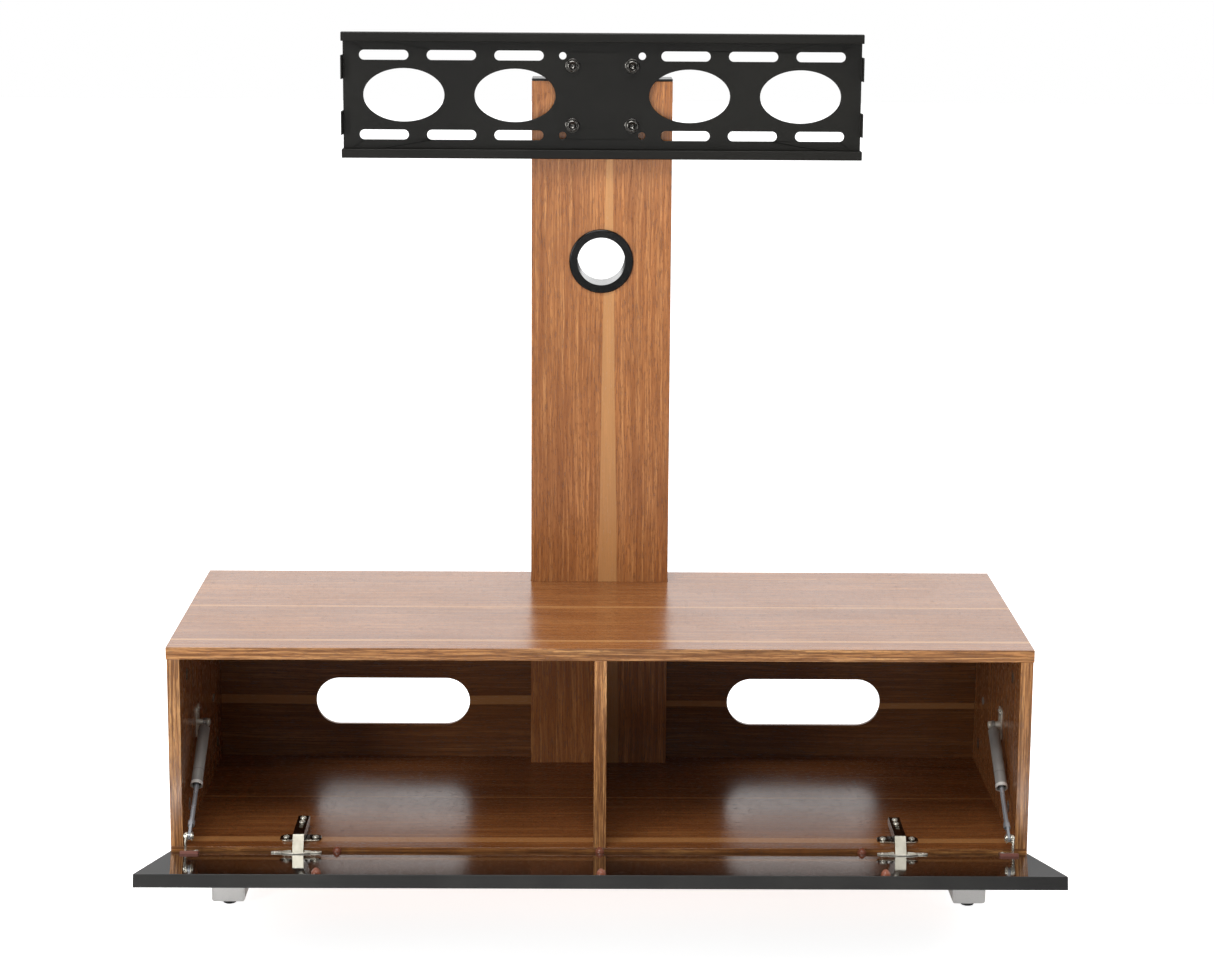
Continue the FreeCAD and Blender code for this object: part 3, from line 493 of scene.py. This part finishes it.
def dress_flap_fittings():
    """The flap, its two hinges and its two gas struts."""
    finish_node("door_panel", gloss_flap())
    nickel = plated("bright_nickel", rgb(244, 239, 224), 0.14, 0.22, metallic=0.8)
    satin = plated("satin_nickel", rgb(250, 245, 230), 0.3, 0.4, metallic=0.3)
    # This nickel has a painted highlight on its front faces and painted shade and reflection on its tops.
    hinge_steel = sprung_steel()
    rod = painted("strut_rod_steel", rgb(186, 190, 196), 0.6, 0.22, 0.3)
    for side in SIDES:
        finish_node("hinge_cup_" + side, satin, 0.4)
        finish_node("hinge_arm_" + side, hinge_steel, 0.4)
        finish_node("hinge_plate_" + side, hinge_steel, 0.8)
        finish_node("strut_anchor_" + side, satin, 0.3)
        finish_node("strut_foot_" + side, nickel, 0.3)
        finish_node("strut_tube_" + side, strut_paint(side))
        finish_node("strut_rod_" + side, rod)
    finish_node("strut_foot_pads", moulded("brown_pad", rgb(150, 96, 84), 0.4, 0.55))


def dress_joinery():
    """The fasteners and fittings that stay mostly out of sight."""
    zinc = plated("zinc_screw", rgb(196, 196, 192), 0.22, 0.36)
    screw_groups = ("leg_screws", "post_screws", "head_plate_screws")
    for group in (*screw_groups, "hinge_pins", "cam_bolts", "bracket_weld_nuts"):
        finish_node(group, zinc)
    finish_node("cam_locks", plated("cam_zinc", rgb(182, 180, 174), 0.3, 0.45))
    finish_node("wood_dowels", beech())
    finish_node("hole_caps", moulded("grey_hole_cap", rgb(150, 146, 140), 0.4, 0.5))
    finish_node("post_insert_nuts", plated("brass_insert", rgb(200, 168, 96), 0.25, 0.4))


# ---------------------------------------------------------------- turned pieces

SEGMENTS = 48
NO_FLATS = 1000.0          # wider than any piece, so that nothing is cut flat
CROSS_ARM = 0.24           # half an arm's width, as a part of its reach
CROSS_TURN = 0.5           # how far a recess is turned, in radians
CROSS_TOP = 0.6            # how far a cutter stands above the head, in mm
CROSS_PINCH = 0.62         # the recess floor's size, as a part of its mouth
BOLT_FLATS = 13.0
STOP_BASE = 2.2            # from the top of a stop's CAD solid down to its base, in mm

# Outlines as (radius, height) in mm.
BOLT_DISH = [(0, -3.4), (1.8, -2.9), (3.9, -1.5), (4.5, -0.4)]
BOLT_RIM = [(5.1, 0), (5.8, -0.05), (6.6, -0.6), (7.5, -1.3), (7.5, -5.3)]
BOLT_SHANK = [(3.85, -5.3), (3.85, -26.2), (3.2, -26.9), (0, -26.9)]
WASHER = [(4.3, -0.2), (4.6, 0), (8.4, 0), (9.1, -0.3), (9.4, -0.9), (9.4, -1.6), (4.3, -1.6)]
STOP_DOME = [(0, 4.4), (1.5, 4.2), (2.6, 3.5), (3.4, 2.4)]
STOP_SKIRT = [(4.6, 1.2), (5.3, -0.4), (5.5, -STOP_BASE), (0, -STOP_BASE)]


def islands(name):
    """The separate solids of a CAD node, each as a list of its points in the row frame."""
    shape = bmesh.new()
    shape.from_mesh(nodes[name].data)
    bmesh.ops.remove_doubles(shape, verts=shape.verts, dist=WELD_REACH)
    place = nodes[name].matrix_world.copy()
    left = set(shape.verts)
    found = []
    while left:
        queue = [left.pop()]
        points = []
        while queue:
            vertex = queue.pop()
            points.append(place @ vertex.co)
            for edge in vertex.link_edges:
                other = edge.other_vert(vertex)
                if other in left:
                    left.remove(other)
                    queue.append(other)
        found.append(points)
    shape.free()
    return found


def square_to(axis):
    """Two directions square to an axis and to each other."""
    side = axis.orthogonal().normalized()
    return side, axis.cross(side)


def seats(name, axis):
    """Where each solid's centre line leaves it along an axis, as (point, axis) pairs."""
    axis = Vector(axis).normalized()
    places = []
    for points in islands(name):
        place = axis * max(p.dot(axis) for p in points)
        for way in square_to(axis):
            reach = [p.dot(way) for p in points]
            place = place + way * ((min(reach) + max(reach)) / 2)
        places.append((place, axis))
    return sorted(places, key=lambda pair: tuple(round(c, 4) for c in pair[0]))


def new_piece(name, shape, material, body):
    """Turns a bmesh into a piece, which rides on a body if one is named."""
    bmesh.ops.recalc_face_normals(shape, faces=shape.faces)
    for face in shape.faces:
        face.smooth = True
    mesh = bpy.data.meshes.new(name)
    shape.to_mesh(mesh)
    shape.free()
    mesh.set_sharp_from_angle(angle=SMOOTH_LIMIT)
    mesh.materials.append(material)
    piece = bpy.data.objects.new(name, mesh)
    bpy.context.scene.collection.objects.link(piece)
    if body:
        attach(piece, body)
    return piece


def turned(places, profile, flats=NO_FLATS):
    """Copies of one lathed solid. The profile is (radius, height) in mm from the top inwards or round a ring,
    and flats is a hexagon's width across its flats in mm."""
    shape = bmesh.new()
    for place, axis in places:
        side, over = square_to(axis)
        rings = []
        for radius, height in profile:
            middle = place + axis * (height * MM)
            ring = []
            for k in range(SEGMENTS if radius else 1):
                angle = 2 * math.pi * k / SEGMENTS
                from_flat = (angle + HEX_SIXTH / 2) % HEX_SIXTH - HEX_SIXTH / 2
                reach = min(radius, flats / 2 / math.cos(from_flat)) * MM
                outward = side * math.cos(angle) + over * math.sin(angle)
                ring.append(shape.verts.new(middle + outward * reach))
            rings.append(ring)
        if profile[0][0]:
            rings.append(rings[0])
        for upper, lower in zip(rings, rings[1:]):
            for k in range(SEGMENTS):
                a, b = upper[k % len(upper)], upper[(k + 1) % len(upper)]
                c, d = lower[(k + 1) % len(lower)], lower[k % len(lower)]
                shape.faces.new(list(dict.fromkeys((a, d, c, b))))
    return shape


def crosses(places, reach, depth):
    """Plus-shaped cutters for cross-head recesses, pinched towards their floors, in mm."""
    shape = bmesh.new()
    half = reach * CROSS_ARM
    for place, axis in places:
        side, over = square_to(axis)
        rings = []
        for height, pinch in ((CROSS_TOP, 1.0), (-depth, CROSS_PINCH)):
            ring = []
            for quarter in range(4):
                turn = math.pi / 2 * quarter + CROSS_TURN
                for u, v in ((reach, -half), (reach, half), (half, half)):
                    x = u * math.cos(turn) - v * math.sin(turn)
                    y = u * math.sin(turn) + v * math.cos(turn)
                    corner = side * (x * pinch) + over * (y * pinch) + axis * height
                    ring.append(shape.verts.new(place + corner * MM))
            rings.append(ring)
        shape.faces.new(rings[0])
        shape.faces.new(rings[1][::-1])
        count = len(rings[0])
        for k in range(count):
            after = (k + 1) % count
            shape.faces.new((rings[0][k], rings[1][k], rings[1][after], rings[0][after]))
    return shape


def screws(name, node, places, head, shank, length, material, body, cone=False):
    """Cross-head screws in place of a CAD group: head is (radius, height), all in mm."""
    radius, height = head
    if cone:
        profile = [(0, 0), (radius - 0.1, 0), (radius, -0.12), (shank, -height)]
    else:
        profile = [(0, 0), (radius * 0.45, -height * 0.05), (radius * 0.75, -height * 0.22)]
        profile += [(radius * 0.94, -height * 0.5), (radius, -height * 0.8)]
        profile += [(radius, -height), (shank, -height)]
    profile += [(shank, 0.4 - length), (0, -length)]
    piece = new_piece(name, turned(places, profile), material, body)
    cutter = new_piece(name + "_cutter", crosses(places, radius * 0.62, height * 0.55), material, None)
    cut = piece.modifiers.new("recess", "BOOLEAN")
    cut.object = cutter
    graph = bpy.context.evaluated_depsgraph_get()
    piece.data = bpy.data.meshes.new_from_object(piece.evaluated_get(graph))
    piece.modifiers.clear()
    bpy.data.objects.remove(cutter)
    piece.data.set_sharp_from_angle(angle=SMOOTH_LIMIT)
    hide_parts(node)


def detail_screws():
    """The screws of the hinges and of the struts' two ends."""
    nickel = plated("screw_nickel", rgb(240, 236, 222), 0.12, 0.2, metallic=0.6)
    arm = seats("hinge_arm_screws", UPWARD)
    screws("hinge_arm_screw_set", "hinge_arm_screws", arm, (3.6, 2.2), 1.9, 14.2, nickel, "cabinet")
    wing = seats("hinge_plate_screws", UPWARD)
    screws("hinge_plate_screw_set", "hinge_plate_screws", wing, (4.0, 2.2), 1.8, 15.6, nickel, "cabinet")
    ear = seats("hinge_cup_screws", FACE)
    screws("hinge_cup_screw_set", "hinge_cup_screws", ear, (3.5, 1.6), 1.7, 11.5, nickel, "flap", cone=True)
    foot = seats("strut_foot_screws", FACE)
    screws("strut_foot_screw_set", "strut_foot_screws", foot, (2.4, 1.2), 1.2, 12.1, nickel, "flap")
    anchor = [pair for pair in seats("strut_anchor_screws", RIGHTWARD) if pair[0].x < 0]
    anchor += [pair for pair in seats("strut_anchor_screws", LEFTWARD) if pair[0].x > 0]
    screws("strut_anchor_screw_set", "strut_anchor_screws", anchor, (3.0, 1.6), 1.6, 12.1, nickel, "cabinet")


def detail_bolts():
    """Hexagon bolts with dished heads, and their washers, on the bracket."""
    dark = plated("dark_bolt", rgb(124, 122, 118), 0.16, 0.24)
    bolts = turned(seats("bracket_bolts", FORWARD), BOLT_DISH + BOLT_RIM + BOLT_SHANK, BOLT_FLATS)
    heads = new_piece("bracket_bolt_set", bolts, dark, "cabinet")
    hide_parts("bracket_bolts")
    dull = plated("dark_washer", rgb(112, 110, 106), 0.18, 0.28)
    washers = turned(seats("bracket_washers", FORWARD), WASHER)
    rings = new_piece("bracket_washer_set", washers, dull, "cabinet")
    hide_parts("bracket_washers")


def detail_stops():
    """Domed rubber stops, which ride on the flap and cushion it as it closes."""
    rubber = moulded("brown_rubber", rgb(136, 78, 56), 0.2, 0.34)
    stops = seats("door_bumpers", FACE)
    bumpers = new_piece("door_bumper_set", turned(stops, STOP_DOME + STOP_SKIRT), rubber, "flap")
    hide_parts("door_bumpers")
    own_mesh(bumpers)


# ---------------------------------------------------------------- stage, light and camera

FLOOR_REACH = 14.0
FLOOR_GLOW = 0.6           # keeps shadows light
FLOOR_CAMERA_GLOW = 0.3    # extra, so that the floor looks white to the camera
FLOOR_MIRRORED = grey(0.2)  # what glossy surfaces see of the floor
FRONT_LIGHT = 0.06         # the surroundings' strength in front of the object
REAR_LIGHT = 1.5           # and behind it
SWEEP = (-0.35, 0.6)       # where the one turns into the other, as a direction's y

# name, place, the point it looks at, size and power in watts
LAMPS = (
    ("key", (-0.6, -1.8, 3.7), (0, 0, 0.5), (2.6, 1.4), 80.0),
    ("fill", (2.2, -1.6, 2.6), (0, 0, 0.5), (1.4, 1.4), 10.0),
    ("front", (0.0, -3.3, 2.86), (0, 0, 0.2), (2.8, 0.9), 10.0),
    ("strip", (0.0, -3.4, 0.64), (0, 0, 0.1), (2.8, 0.2), 6.0),
    ("side", (-2.3, -2.6, 1.15), (0, 0, 0.5), (0.7, 1.3), 30.0),
    ("low", (0.0, -0.45, 0.015), (0, 0, 0.03), (1.2, 0.02), 1.3),
)

CAMERA_PLACE = (-0.0231, -2.9959, 1.1825)
CAMERA_PITCH = 0.1717
CAMERA_YAW = -0.0096
CAMERA_ROLL = -0.0065
LENS = 76.2
SENSOR = 36.0
SHIFT = -0.1


def stage():
    """A plain pale floor, which shows darker in reflections than it does to the camera."""
    mesh = bpy.data.meshes.new("floor")
    shape = bmesh.new()
    bmesh.ops.create_grid(shape, x_segments=8, y_segments=8, size=FLOOR_REACH)
    shape.to_mesh(mesh)
    shape.free()
    floor = bpy.data.objects.new("floor", mesh)
    bpy.context.scene.collection.objects.link(floor)
    g = Graph("pale_floor")
    cloud = g.noise(g.coords(), scale=1.2, detail=3.0)
    tone = g.blend(g.span(cloud, 0.3, 0.7), grey(0.9), grey(0.93))
    rays = g.node("ShaderNodeLightPath")
    mirrored = rays.outputs["Is Glossy Ray"]
    seen = g.math("MULTIPLY", rays.outputs["Is Camera Ray"], FLOOR_CAMERA_GLOW)
    glow = g.math("MULTIPLY", g.math("ADD", seen, FLOOR_GLOW), g.math("SUBTRACT", 1.0, mirrored))
    g.set(emission_color=tone, emission_strength=glow)
    shade = g.blend(mirrored, tone, FLOOR_MIRRORED)
    mesh.materials.append(g.set(base_color=shade, roughness=0.9, specular_ior_level=0.1))


def surroundings():
    """White to the camera; to everything else dim in front of the object and bright behind it."""
    world = bpy.data.worlds.new("studio")
    world.use_nodes = True
    tree = world.node_tree
    background = tree.nodes["Background"]
    background.inputs["Color"].default_value = grey(1.0)
    split = tree.nodes.new("ShaderNodeSeparateXYZ")
    tree.links.new(tree.nodes.new("ShaderNodeTexCoord").outputs["Generated"], split.inputs[0])
    sweep = tree.nodes.new("ShaderNodeMapRange")
    sweep.interpolation_type = "SMOOTHSTEP"
    for socket, number in zip(sweep.inputs[1:5], (*SWEEP, FRONT_LIGHT, REAR_LIGHT)):
        socket.default_value = number
    tree.links.new(split.outputs[1], sweep.inputs[0])
    rays = tree.nodes.new("ShaderNodeLightPath")
    pick = tree.nodes.new("ShaderNodeMix")
    pick.inputs[3].default_value = 1.0
    tree.links.new(rays.outputs["Is Camera Ray"], pick.inputs[0])
    tree.links.new(sweep.outputs[0], pick.inputs[2])
    tree.links.new(pick.outputs[0], background.inputs["Strength"])
    bpy.context.scene.world = world
    bpy.context.scene.view_settings.view_transform = "Standard"


def area_light(name, place, aim, size, power):
    """A soft rectangular light that looks at a point."""
    lamp = bpy.data.lights.new(name, "AREA")
    lamp.shape = "RECTANGLE"
    lamp.size, lamp.size_y = size
    lamp.energy = power
    holder = bpy.data.objects.new(name, lamp)
    holder.location = place
    holder.rotation_euler = (Vector(aim) - Vector(place)).to_track_quat("-Z", "Y").to_euler()
    bpy.context.scene.collection.objects.link(holder)


def camera():
    """The photograph's viewpoint: in front, above the cabinet, looking slightly down."""
    data = bpy.data.cameras.new("camera")
    data.sensor_width = SENSOR
    data.lens = LENS
    data.shift_y = SHIFT
    eye = bpy.data.objects.new("camera", data)
    turn = Matrix.Rotation(CAMERA_YAW, 4, "Z") @ Matrix.Rotation(math.pi / 2 - CAMERA_PITCH, 4, "X")
    turn = turn @ Matrix.Rotation(-CAMERA_ROLL, 4, "Z")
    eye.matrix_world = Matrix.Translation(CAMERA_PLACE) @ turn
    bpy.context.scene.collection.objects.link(eye)
    bpy.context.scene.camera = eye


dress_cabinet()
dress_bracket()
dress_runners()
dress_flap_fittings()
dress_joinery()
detail_screws()
detail_bolts()
detail_stops()
stage()
surroundings()
for lamp in LAMPS:
    area_light(*lamp)
camera()
